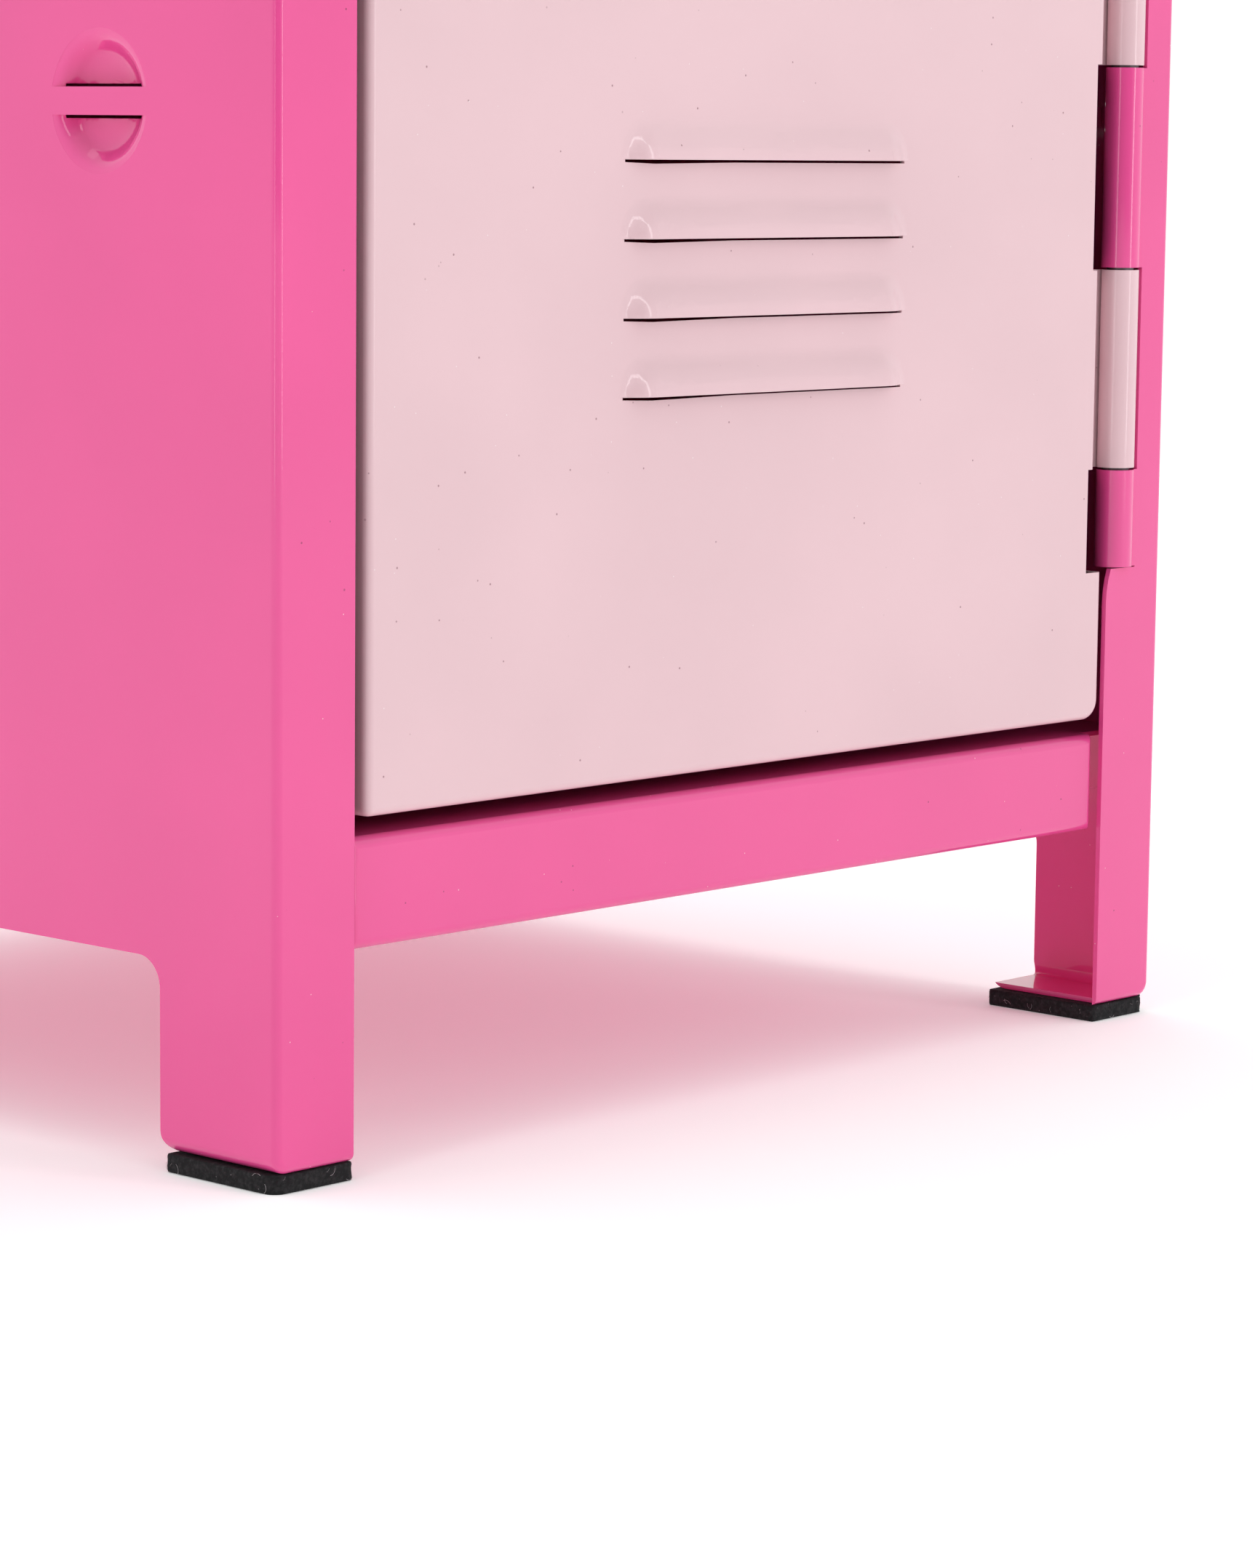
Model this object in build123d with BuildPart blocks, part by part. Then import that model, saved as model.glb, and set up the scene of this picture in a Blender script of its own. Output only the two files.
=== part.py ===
"""Miniature two-tone steel locker cabinet, built up from folded sheet.

Two side pressings carry the front and rear flanges, the four legs and the shelf guides. A back
panel, a top panel and a bottom tray close them into a box. The door hangs on curled knuckles and
one long pin at the right, and a hasp at the left takes a small padlock.

Units are millimetres. +Z is up, the front faces -Y, and the origin is on the ground under the
middle of the whole object, hasp eye included.
"""

import os

from build123d import *

# ---------------------------------------------------------------- driving dimensions
body_width = 180.0
body_depth = 180.0
sheet = 0.75  # painted sheet, every folded part
flange_width = 13.2  # front and rear flanges of the sides
corner_bend = 1.1  # outer radius of the side to flange bend

pad_thick = 2.5  # foam foot pads
leg_depth = 21.4  # leg size along Y
leg_arch_top = 27.3  # bottom edge of the side between its legs
leg_arch_radius = 4.0
leg_corner = 3.0
foot_bend = 2.2  # outer radius of the turned-in foot tab
foot_tab_width = 11.6

rail_bottom = 28.9  # front rail of the bottom tray
rail_height = 14.3
rail_setback = 1.2  # rail face behind the flange face
rail_bend = 1.5
door_gap_z = 2.5  # between the door and the rails

door_setback = 0.2  # door face behind the flange face
door_depth = 8.0  # face to the end of the turned-in edges
door_left_gap = 2.4
door_right_gap = 0.75
door_edge_bend = 1.2
door_corner_radius = 3.0

knuckle_radius = 2.8
knuckle_pitch = 29.3
hinge_bottom = 67.8
full_knuckles = 7  # between the two half-length ones, door first
hinge_axis_x = 80.6
hinge_axis_depth = 1.8  # behind the flange face, so the knuckles stand 1 mm proud
hinge_gap = 0.35  # between the ends of two knuckles
knuckle_clearance = 0.35  # from a knuckle to the sheet of the other part
hinge_notch_x = 72.0  # the door is cut back to here beside the body knuckles
hinge_roll_x = 73.6  # its rolled edge beside its own knuckles
pin_clearance = 0.06

louver_length = 58.8
louver_height = 5.7
louver_reach = 1.9
louver_pitch = 10.26
louver_count = 4
louver_slit = 0.35  # gap left under the lip by the shear
louver_tear = 0.55  # the same near the left end
louver_slit_inset = 1.0  # from the ends of the bulge to the ends of the slit
louver_swell = 0.55  # share of the reach left half way up
lowest_louver = 96.45

guide_radius = 7.9  # round embossing, split by a flat strip
guide_strip = 3.5
guide_slit = 0.4  # between the strip and the half moons
guide_reach = 2.5
guide_rim = 9.3  # where the rounded rim has met the flat panel
guide_floor = 6.4  # radius where the dish has reached most of its depth
guide_swell = 0.68  # the share of the reach it has there
guide_inset = 32.3  # from the front and rear faces
guide_levels = (133.84, 230.3)

hasp_reach = 11.0  # the padlock eye in front of the flange
hasp_plate = 0.8

# ---------------------------------------------------------------- derived places
front_y = hasp_reach - (body_depth + hasp_reach) / 2
back_y = front_y + body_depth
half_width = body_width / 2
inner_x = half_width - sheet
flange_x = half_width - flange_width

rail_top = rail_bottom + rail_height
door_bottom = rail_top + door_gap_z
half_knuckle = knuckle_pitch / 2
hinge_top = hinge_bottom + knuckle_pitch * (full_knuckles + 1)
door_top = hinge_top + hinge_bottom - door_bottom
header_bottom = door_top + door_gap_z
body_top = header_bottom + rail_height

door_y = front_y + door_setback
door_back_y = door_y + door_depth
door_left = door_left_gap - flange_x
door_right = flange_x - door_right_gap
hinge_axis_y = front_y + hinge_axis_depth
knuckle_bore = knuckle_radius - sheet
hasp_level = (door_bottom + door_top) / 2

# Knuckles alternate body, door, body ... with half-length body ones at both ends.
knuckle_edges = [hinge_bottom, hinge_bottom + half_knuckle]
knuckle_edges += [knuckle_edges[1] + knuckle_pitch * n for n in range(1, full_knuckles + 1)]
knuckle_edges.append(hinge_top)
knuckles = list(zip(knuckle_edges, knuckle_edges[1:]))
body_knuckles = knuckles[0::2]
door_knuckles = knuckles[1::2]

# Rivet places, as X and Z.
rivet_radius = 1.2
rivet_hole = rivet_radius + 0.05
flange_middle = -(half_width + flange_x) / 2
eye_rivet_spots = [(flange_middle, hasp_level + offset) for offset in (-13.6, 13.6)]
hasp_axis_x = -66.0
hasp_rivet_spots = [(hasp_axis_x + 9.0, hasp_level + offset) for offset in (-6.5, 6.5)]
striker_spot = (-62.0, hasp_level + 62.0)
catch_rivet_spots = [(flange_middle, striker_spot[1] + offset) for offset in (-4.5, 4.5)]
catch_rivet_length = 5.0


def save(builder, label):
    """Labels a finished sub-part and writes its STEP file."""
    builder.part.label = label
    export_step(builder.part, f"parts/{label}.step")
    print(label, "solids", len(builder.part.solids()), "volume", round(builder.part.volume, 1))


def span(low, high):
    """Size and centre of a range, for boxes placed by their two ends."""
    return high - low, (high + low) / 2


def block(x_range, y_range, z_range, mode=Mode.ADD):
    """Adds or cuts an upright box given by its ranges, inside the current part."""
    (dx, cx), (dy, cy), (dz, cz) = span(*x_range), span(*y_range), span(*z_range)
    with Locations((cx, cy, cz)):
        Box(dx, dy, dz, mode=mode)


os.makedirs("parts", exist_ok=True)

# ---------------------------------------------------------------- side pressings
# One C-shaped pressing: wall, front and rear flanges and a turned-in bottom, later arched out so
# that only the legs keep their foot tabs. It is drawn for the left and mirrored for the right.
with BuildPart() as side_blank:
    with BuildSketch(Plane.XZ.offset(-back_y)):
        with Locations((-half_width, pad_thick)):
            Rectangle(flange_width, body_top - pad_thick, align=(Align.MIN, Align.MIN))
        foot_corner = vertices().group_by(Axis.Y)[0].sort_by(Axis.X)[0]
        fillet(foot_corner, foot_bend)
    extrude(amount=body_depth)
    for face in (faces().sort_by(Axis.Y)[0], faces().sort_by(Axis.Y)[-1]):
        bends = face.edges().filter_by(lambda e: e.center().X < -flange_x - 0.1)
        fillet(bends.filter_by(lambda e: e.center().Z < body_top - 1), corner_bend)
    # Hollow: everything more than one sheet inside the outer faces.
    with BuildSketch(Plane.XZ.offset(-(back_y - sheet))):
        with Locations((-inner_x, pad_thick + sheet)):
            Rectangle(flange_width + 5, body_top, align=(Align.MIN, Align.MIN))
        fillet(vertices().group_by(Axis.Y)[0].sort_by(Axis.X)[0], foot_bend - sheet)
    extrude(amount=body_depth - 2 * sheet, mode=Mode.SUBTRACT)
    # Arch between the legs, with round inner corners.
    with BuildSketch(Plane.YZ.offset(-half_width - 1)):
        with Locations(((front_y + back_y) / 2, leg_arch_top)):
            Rectangle(body_depth - 2 * leg_depth, leg_arch_top + 5, align=(Align.CENTER, Align.MAX))
        fillet(vertices().group_by(Axis.Y)[-1], leg_arch_radius)
    extrude(amount=flange_width + 5, mode=Mode.SUBTRACT)
    # The inner corner at the foot of each leg is rounded off.
    for edge_y, away in ((front_y + leg_depth, -1), (back_y - leg_depth, 1)):
        with BuildSketch(Plane.YZ.offset(-half_width - 1)):
            with BuildLine():
                corner = ThreePointArc(
                    (edge_y, pad_thick + leg_corner),
                    (edge_y + away * leg_corner * 0.29, pad_thick + leg_corner * 0.29),
                    (edge_y + away * leg_corner, pad_thick),
                )
                Polyline(corner @ 1, (edge_y - away, pad_thick - 1), corner @ 0)
            make_face()
        extrude(amount=flange_width + 5, mode=Mode.SUBTRACT)
    # The foot tabs are narrower than the flanges and not joined to them.
    tab_slit = 0.4
    block(
        (-half_width + foot_tab_width, -flange_x + 1),
        (front_y + sheet, back_y - sheet),
        (0, pad_thick + sheet + 0.1),
        Mode.SUBTRACT,
    )
    for slit_y in (front_y + sheet, back_y - sheet - tab_slit):
        block(
            (-half_width + foot_bend, -flange_x + 1),
            (slit_y, slit_y + tab_slit),
            (0, pad_thick + sheet + 0.1),
            Mode.SUBTRACT,
        )
    # Shelf guides: half moons pressed inwards above and below a flat strip.
    for guide_y in (front_y + guide_inset, back_y - guide_inset):
        for guide_z in guide_levels:
            with BuildSketch(Plane.YZ.offset(-half_width - 1)):
                with Locations((guide_y, guide_z)):
                    Circle(guide_rim - 0.3)
                    Rectangle(3 * guide_radius, guide_strip, mode=Mode.SUBTRACT)
            extrude(amount=1 + sheet, mode=Mode.SUBTRACT)
            dish_plane = Plane(origin=(-half_width, guide_y, guide_z), x_dir=(1, 0, 0), z_dir=(0, 0, 1))
            with BuildSketch(dish_plane):
                with BuildLine():
                    hollow = Spline(
                        (0, guide_rim),
                        (guide_reach * guide_swell, guide_floor),
                        (guide_reach, 0),
                        tangents=((0, -1), (0, -1)),
                    )
                    Line(hollow @ 1, (guide_reach + sheet, 0))
                    crown = Spline(
                        (guide_reach + sheet, 0),
                        (guide_reach * guide_swell + sheet, guide_floor),
                        (sheet, guide_rim),
                        tangents=((0, 1), (0, 1)),
                    )
                    Line(crown @ 1, hollow @ 0)
                make_face()
            revolve(axis=Axis((-half_width, guide_y, guide_z), (1, 0, 0)))
            block(
                (-inner_x, -inner_x + 2 * guide_reach),
                (guide_y - guide_rim, guide_y + guide_rim),
                (guide_z - guide_strip / 2 - guide_slit, guide_z + guide_strip / 2 + guide_slit),
                Mode.SUBTRACT,
            )

# ---------------------------------------------------------------- left side
with BuildPart() as left_side:
    add(side_blank.part)
    with BuildSketch(Plane.XZ.offset(-(front_y + sheet + 1))):
        with Locations(*eye_rivet_spots, *catch_rivet_spots):
            Circle(rivet_hole)
    extrude(amount=sheet + 2, mode=Mode.SUBTRACT)
save(left_side, "left_side")

# ---------------------------------------------------------------- right side with knuckles
# Behind the door knuckles the flange is cut back far enough to clear them as they turn.
sheet_level = hinge_axis_depth - sheet
notch_reach = ((knuckle_radius + knuckle_clearance) ** 2 - sheet_level**2) ** 0.5
notch_x = hinge_axis_x + notch_reach
relief_height = 5.0
relief_x = flange_x + 1.0
curl_slit = 0.4  # between the end of a curl and the sheet it starts from
with BuildPart() as right_side:
    add(mirror(side_blank.part, about=Plane.YZ))
    block(
        (flange_x - 1, notch_x),
        (front_y - 1, front_y + sheet),
        (hinge_bottom, hinge_top),
        Mode.SUBTRACT,
    )
    # The flange edge eases back where it meets the hinge.
    with BuildSketch(Plane.XZ.offset(-(front_y + sheet))):
        for end, away in ((hinge_bottom, -1), (hinge_top, 1)):
            with BuildLine():
                ease = ThreePointArc(
                    (flange_x, end + away * relief_height),
                    (flange_x + 0.3, end + away * relief_height * 0.45),
                    (relief_x, end),
                )
                Polyline(ease @ 1, (flange_x - 1, end), (flange_x - 1, end + away * relief_height), ease @ 0)
            make_face()
    extrude(amount=sheet, mode=Mode.SUBTRACT)
    # Body knuckles: the flange runs on to the curl, which goes round the front of the pin.
    for low, high in body_knuckles:
        with BuildSketch(Plane.XY.offset(low + hinge_gap / 2)):
            with Locations((hinge_axis_x, hinge_axis_y)):
                Circle(knuckle_radius)
            with Locations((hinge_axis_x + knuckle_bore, front_y)):
                Rectangle(
                    notch_reach - knuckle_bore + 0.2, sheet, align=(Align.MIN, Align.MIN)
                )
            with Locations((hinge_axis_x, hinge_axis_y)):
                Circle(knuckle_bore, mode=Mode.SUBTRACT)
            with Locations((hinge_axis_x + 1, front_y + sheet)):
                Rectangle(
                    knuckle_radius, curl_slit, align=(Align.MIN, Align.MIN), mode=Mode.SUBTRACT
                )
        extrude(amount=high - low - hinge_gap)
save(right_side, "right_side")

# ---------------------------------------------------------------- hinge pin
with BuildPart() as hinge_pin:
    with BuildSketch(Plane.XY.offset(hinge_bottom + hinge_gap)):
        with Locations((hinge_axis_x, hinge_axis_y)):
            Circle(knuckle_bore - pin_clearance)
    extrude(amount=hinge_top - hinge_bottom - 2 * hinge_gap)
    chamfer(edges().filter_by(GeomType.CIRCLE), 0.4)
save(hinge_pin, "hinge_pin")

# ---------------------------------------------------------------- back panel
back_panel_y = back_y - 2 * sheet  # its front face; it lies against the rear flanges
panel_edge_x = inner_x - 0.1
with BuildPart() as back_panel:
    block(
        (-panel_edge_x, panel_edge_x), (back_panel_y, back_panel_y + sheet), (rail_bottom, body_top)
    )
save(back_panel, "back_panel")

# ---------------------------------------------------------------- bottom tray and top panel
# Both are shallow pans with a rail folded up at the front. The rail ends and edges turn back.
rail_end_x = flange_x - 0.4
rail_fold = 8.0
pan_front_y = front_y + 4.0
pan_rear_y = back_panel_y - 0.05
pan_wall = 10.0
rail_y = front_y + rail_setback


def pan(rail_low, rail_high, deck_high):
    """A pan whose deck ends at deck_high, with a front rail between the two heights."""
    rail_back_y = rail_y + rail_fold
    block((-rail_end_x, rail_end_x), (rail_y, rail_back_y), (rail_low, rail_high))
    fillet(faces().sort_by(Axis.Y)[0].edges(), rail_bend)
    block(
        (-rail_end_x + sheet, rail_end_x - sheet),
        (rail_y + sheet, rail_back_y + 1),
        (rail_low + sheet, rail_high - sheet),
        Mode.SUBTRACT,
    )
    block((-panel_edge_x, panel_edge_x), (pan_front_y, pan_rear_y), (deck_high - sheet, deck_high))
    for wall_x in (-panel_edge_x, panel_edge_x - sheet):
        block((wall_x, wall_x + sheet), (pan_front_y, pan_rear_y), (deck_high - pan_wall, deck_high))
    block(
        (-panel_edge_x, panel_edge_x),
        (pan_rear_y - sheet, pan_rear_y),
        (deck_high - pan_wall, deck_high),
    )


with BuildPart() as bottom_tray:
    pan(rail_bottom, rail_top, rail_top)
save(bottom_tray, "bottom_tray")

with BuildPart() as top_panel:
    pan(header_bottom, body_top, body_top)
save(top_panel, "top_panel")

# ---------------------------------------------------------------- door
# A pan with turned-in edges. Along the hinge its right edge is cut back, rolled beside the door
# knuckles and notched beside the body knuckles.
low_louvers = [lowest_louver + louver_pitch * n for n in range(louver_count)]
group_height = louver_pitch * (louver_count - 1) + louver_height
high_louvers = [
    door_top - (lowest_louver - door_bottom) - group_height + louver_pitch * n
    for n in range(louver_count)
]
tab_back_y = hinge_axis_y + knuckle_radius

def louver_profile(plane, lift):
    """The section of a louver from its lip up to the flat sheet, moved back by lift."""
    with BuildSketch(plane) as section:
        with BuildLine():
            brow = Spline(
                (lift - louver_reach, 0),
                (lift - louver_reach * louver_swell, louver_height / 2),
                (lift, louver_height),
                tangents=((0, 1), (0, 1)),
            )
            Polyline(brow @ 1, (lift, 0), brow @ 0)
        make_face()
    return section.sketch


def louver(low, lift, mode):
    """One louver bulge, low at its slit, with quarter-round ends, or the hollow behind it."""
    straight = louver_length / 2 - louver_height
    section = Plane(origin=(-straight, door_y, low), x_dir=(0, 1, 0), z_dir=(1, 0, 0))
    extrude(louver_profile(section, lift), amount=2 * straight, mode=mode)
    for end in (-1, 1):
        spot = Plane(origin=(end * straight, door_y, low), x_dir=(0, 1, 0), z_dir=(1, 0, 0))
        pivot = Axis((end * straight, door_y, low), (0, end, 0))
        revolve(louver_profile(spot, lift), axis=pivot, revolution_arc=90, mode=mode)


with BuildPart() as door_panel:
    with BuildSketch(Plane.XZ.offset(-door_y)):
        with Locations(((door_left + door_right) / 2, hasp_level)):
            Rectangle(door_right - door_left, door_top - door_bottom)
        fillet(vertices().group_by(Axis.X)[-1], door_corner_radius)
        fillet(vertices().group_by(Axis.X)[0], door_edge_bend)
    extrude(amount=-door_depth)
    door_front = faces().sort_by(Axis.Y)[0]
    fillet(door_front.edges(), door_edge_bend)
    block(
        (door_left + sheet, door_right - sheet),
        (door_y + sheet, door_back_y + 1),
        (door_bottom + sheet, door_top - sheet),
        Mode.SUBTRACT,
    )
    # Hinge edge: cut back along the whole hinge.
    block(
        (hinge_notch_x, door_right + 1),
        (door_y - 1, door_back_y + 1),
        (hinge_bottom - hinge_gap, hinge_top + hinge_gap),
        Mode.SUBTRACT,
    )
    # Door knuckles: the sheet rolls back, runs behind the pin and curls round it to the front.
    for low, high in door_knuckles:
        with BuildSketch(Plane.XY.offset(low + hinge_gap / 2)):
            with Locations((hinge_axis_x, hinge_axis_y)):
                Circle(knuckle_radius)
                Circle(knuckle_bore, mode=Mode.SUBTRACT)
            with BuildLine():
                outer = FilletPolyline(
                    (hinge_notch_x - 0.5, door_y),
                    (hinge_roll_x, door_y),
                    (hinge_roll_x, tab_back_y - sheet),
                    (hinge_axis_x, tab_back_y - sheet),
                    radius=0.9,
                )
                Line(outer @ 1, (hinge_axis_x, tab_back_y))
                inner = FilletPolyline(
                    (hinge_axis_x, tab_back_y),
                    (hinge_roll_x - sheet, tab_back_y),
                    (hinge_roll_x - sheet, door_y + sheet),
                    (hinge_notch_x - 0.5, door_y + sheet),
                    radius=0.4,
                )
                Line(inner @ 1, outer @ 0)
            make_face()
            with Locations((hinge_axis_x - 1, tab_back_y - sheet)):
                Rectangle(
                    knuckle_radius, curl_slit, align=(Align.MAX, Align.MAX), mode=Mode.SUBTRACT
                )
        extrude(amount=high - low - hinge_gap)
    # Louvers: the sheet is slit and pressed out above each slit, with quarter-round ends.
    for louver_z in low_louvers + high_louvers:
        louver(louver_z, 0, Mode.ADD)
        louver(louver_z, sheet, Mode.SUBTRACT)
        # the shear leaves a narrow gap, wider where it started
        slit_end = louver_length / 2 - louver_slit_inset
        with BuildSketch(Plane.XZ.offset(-(door_y + 2 * sheet))):
            with BuildLine():
                Polyline(
                    (-slit_end, louver_z),
                    (-slit_end, louver_z - louver_slit),
                    (-slit_end + louver_height, louver_z - louver_tear),
                    (-slit_end / 4, louver_z - louver_slit),
                    (slit_end, louver_z - louver_slit),
                    (slit_end, louver_z),
                    close=True,
                )
            make_face()
        extrude(amount=3 * sheet + louver_reach, mode=Mode.SUBTRACT)
    # Rivet holes for the hasp and the striker.
    with BuildSketch(Plane.XZ.offset(-(door_y + sheet + 1))):
        with Locations(*hasp_rivet_spots, striker_spot):
            Circle(rivet_hole)
    extrude(amount=sheet + 2, mode=Mode.SUBTRACT)
save(door_panel, "door_panel")

# ---------------------------------------------------------------- shelves
shelf_thick = 3.1  # turned-down edges, loose in the guides
shelf_lip = 8.0  # deeper front and rear edges
shelf_edge_x = inner_x - 0.35
shelf_front_y = front_y + 12.0
shelf_back_y = back_panel_y - 0.6
for shelf_name, level in zip(("lower_shelf", "upper_shelf"), guide_levels):
    shelf_top = level + shelf_thick / 2
    with BuildPart() as shelf:
        block(
            (-shelf_edge_x, shelf_edge_x),
            (shelf_front_y, shelf_back_y),
            (shelf_top - sheet, shelf_top),
        )
        for edge_x in (-shelf_edge_x, shelf_edge_x - sheet):
            block(
                (edge_x, edge_x + sheet),
                (shelf_front_y, shelf_back_y),
                (shelf_top - shelf_thick, shelf_top),
            )
        for edge_y in (shelf_front_y, shelf_back_y - sheet):
            block(
                (-shelf_edge_x, shelf_edge_x),
                (edge_y, edge_y + sheet),
                (shelf_top - shelf_thick, shelf_top),
            )
            block(
                (-shelf_edge_x + shelf_lip, shelf_edge_x - shelf_lip),
                (edge_y, edge_y + sheet),
                (shelf_top - shelf_lip, shelf_top),
            )
    save(shelf, shelf_name)

# ---------------------------------------------------------------- padlock eye
# An angle riveted to the left flange. Its upright tab stands through the hasp strap.
eye_plate_height = 36.0
eye_plate_left = -half_width + 1.6
eye_plate_right = -flange_x - 1.5
eye_tab_height = 12.0
eye_hole_radius = 2.5
eye_hole_depth = 6.6  # in front of the flange
with BuildPart() as padlock_eye:
    block(
        (eye_plate_left, eye_plate_right),
        (front_y - hasp_plate, front_y),
        (hasp_level - eye_plate_height / 2, hasp_level + eye_plate_height / 2),
    )
    fillet(edges().filter_by(Axis.Y), 2.0)
    block(
        (eye_plate_right - hasp_plate, eye_plate_right),
        (front_y - hasp_reach, front_y - hasp_plate / 2),
        (hasp_level - eye_tab_height / 2, hasp_level + eye_tab_height / 2),
    )
    fillet(faces().sort_by(Axis.Y)[0].edges().filter_by(Axis.X), 3.0)
    with BuildSketch(Plane.YZ.offset(eye_plate_right + 1)):
        with Locations((front_y - eye_hole_depth, hasp_level)):
            Circle(eye_hole_radius)
    extrude(amount=-(hasp_plate + 2), mode=Mode.SUBTRACT)
    with BuildSketch(Plane.XZ.offset(-(front_y + 1))):
        with Locations(*eye_rivet_spots):
            Circle(rivet_hole)
    extrude(amount=hasp_plate + 2, mode=Mode.SUBTRACT)
save(padlock_eye, "padlock_eye")

# ---------------------------------------------------------------- hasp
hasp_knuckle_radius = 1.6
hasp_bore = 0.86
hasp_pin_radius = 0.8
hasp_axis_y = front_y - 2.2
hasp_half_height = 12.0
hasp_middle = 4.7  # half height of the strap knuckle
hasp_leaf_end = hasp_axis_x + 16.0
slot_near = 12.0  # slot ends, from the pin
slot_far = 16.2
slot_half_height = 6.6
strap_length = 20.0
strap_half_height = 10.0
with BuildPart() as hasp_base:
    block(
        (hasp_axis_x, hasp_leaf_end),
        (door_y - hasp_plate, door_y),
        (hasp_level - hasp_half_height, hasp_level + hasp_half_height),
    )
    fillet(edges().filter_by(Axis.Y).group_by(Axis.X)[-1], 2.5)
    with Locations((hasp_axis_x, hasp_axis_y, hasp_level)):
        Cylinder(hasp_knuckle_radius, 2 * hasp_half_height)
    block(
        (hasp_axis_x, hasp_axis_x + hasp_knuckle_radius),
        (hasp_axis_y, door_y - hasp_plate / 2),
        (hasp_level - hasp_half_height, hasp_level + hasp_half_height),
    )
    block(
        (hasp_axis_x - 3, hasp_axis_x + 2.1),
        (hasp_axis_y - 3, door_y),
        (hasp_level - hasp_middle - 0.3, hasp_level + hasp_middle + 0.3),
        Mode.SUBTRACT,
    )
    with Locations((hasp_axis_x, hasp_axis_y, hasp_level)):
        Cylinder(hasp_bore, 3 * hasp_half_height, mode=Mode.SUBTRACT)
    with BuildSketch(Plane.XZ.offset(-(door_y + 1))):
        with Locations(*hasp_rivet_spots):
            Circle(rivet_hole)
    extrude(amount=hasp_plate + 2, mode=Mode.SUBTRACT)
save(hasp_base, "hasp_base")

with BuildPart() as hasp_strap:
    block(
        (hasp_axis_x - strap_length, hasp_axis_x - hasp_knuckle_radius - 0.35),
        (hasp_axis_y - hasp_plate / 2, hasp_axis_y + hasp_plate / 2),
        (hasp_level - strap_half_height, hasp_level + strap_half_height),
    )
    fillet(edges().filter_by(Axis.Y).group_by(Axis.X)[0], 4.0)
    block(
        (hasp_axis_x - slot_far, hasp_axis_x - slot_near),
        (hasp_axis_y - hasp_plate, hasp_axis_y + hasp_plate),
        (hasp_level - slot_half_height, hasp_level + slot_half_height),
        Mode.SUBTRACT,
    )
    block(
        (hasp_axis_x - hasp_knuckle_radius - 1, hasp_axis_x),
        (hasp_axis_y - hasp_plate / 2, hasp_axis_y + hasp_plate / 2),
        (hasp_level - hasp_middle, hasp_level + hasp_middle),
    )
    with Locations((hasp_axis_x, hasp_axis_y, hasp_level)):
        Cylinder(hasp_knuckle_radius, 2 * hasp_middle)
        Cylinder(hasp_bore, 3 * hasp_middle, mode=Mode.SUBTRACT)
save(hasp_strap, "hasp_strap")

with BuildPart() as hasp_pin:
    with Locations((hasp_axis_x, hasp_axis_y, hasp_level)):
        Cylinder(hasp_pin_radius, 2 * hasp_half_height + 1)
    chamfer(edges().filter_by(GeomType.CIRCLE), 0.25)
save(hasp_pin, "hasp_pin")

# ---------------------------------------------------------------- rivets
head_radius = 2.1
head_height = 0.8
tail_radius = 1.8
tail_height = 0.6


def rod_y(spot, low_y, high_y, radius):
    """Adds a round bar along Y between two depths."""
    with Locations(Location((spot[0], (low_y + high_y) / 2, spot[1]), (90, 0, 0))):
        Cylinder(radius, high_y - low_y)


def rivet(spot, head_y, tail_y):
    """Adds a rivet along Y: its domed head is in front of head_y, its tail behind tail_y."""
    rod_y(spot, head_y - head_height, head_y, head_radius)
    fillet(edges(Select.LAST).group_by(Axis.Y)[0], head_height * 0.9)
    rod_y(spot, head_y, tail_y, rivet_radius)
    rod_y(spot, tail_y, tail_y + tail_height, tail_radius)


with BuildPart() as eye_rivets:
    for spot in eye_rivet_spots:
        rivet(spot, front_y - hasp_plate, front_y + sheet)
save(eye_rivets, "eye_rivets")

with BuildPart() as hasp_rivets:
    for spot in hasp_rivet_spots:
        rivet(spot, door_y - hasp_plate, door_y + sheet)
save(hasp_rivets, "hasp_rivets")

# ---------------------------------------------------------------- magnet catch
striker_thick = 1.0
striker_half_width = 7.0
striker_half_height = 9.0
magnet_face_y = door_y + sheet + striker_thick + 0.15
magnet_half_width = 5.5
magnet_half_height = 6.5
magnet_depth = 6.0
catch_half_width = 7.5
catch_half_height = 8.5
catch_back_y = front_y + 20.0
catch_foot = (-inner_x + 0.4, -flange_x - 0.7)
with BuildPart() as striker_plate:
    block(
        (striker_spot[0] - striker_half_width, striker_spot[0] + striker_half_width),
        (door_y + sheet, door_y + sheet + striker_thick),
        (striker_spot[1] - striker_half_height, striker_spot[1] + striker_half_height),
    )
    fillet(edges().filter_by(Axis.Y), 1.0)
    # countersunk from behind, so that the magnet meets a flat face
    with BuildSketch(Plane.XZ.offset(-(door_y + sheet + striker_thick))):
        with Locations(striker_spot):
            Circle(tail_radius + 0.05)
    extrude(amount=tail_height + 0.05, mode=Mode.SUBTRACT)
    with BuildSketch(Plane.XZ.offset(-(door_y + sheet + striker_thick))):
        with Locations(striker_spot):
            Circle(rivet_hole)
    extrude(amount=striker_thick, mode=Mode.SUBTRACT)
save(striker_plate, "striker_plate")

with BuildPart() as striker_rivet:
    rivet(striker_spot, door_y, door_y + sheet + striker_thick - tail_height)
save(striker_rivet, "striker_rivet")

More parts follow.
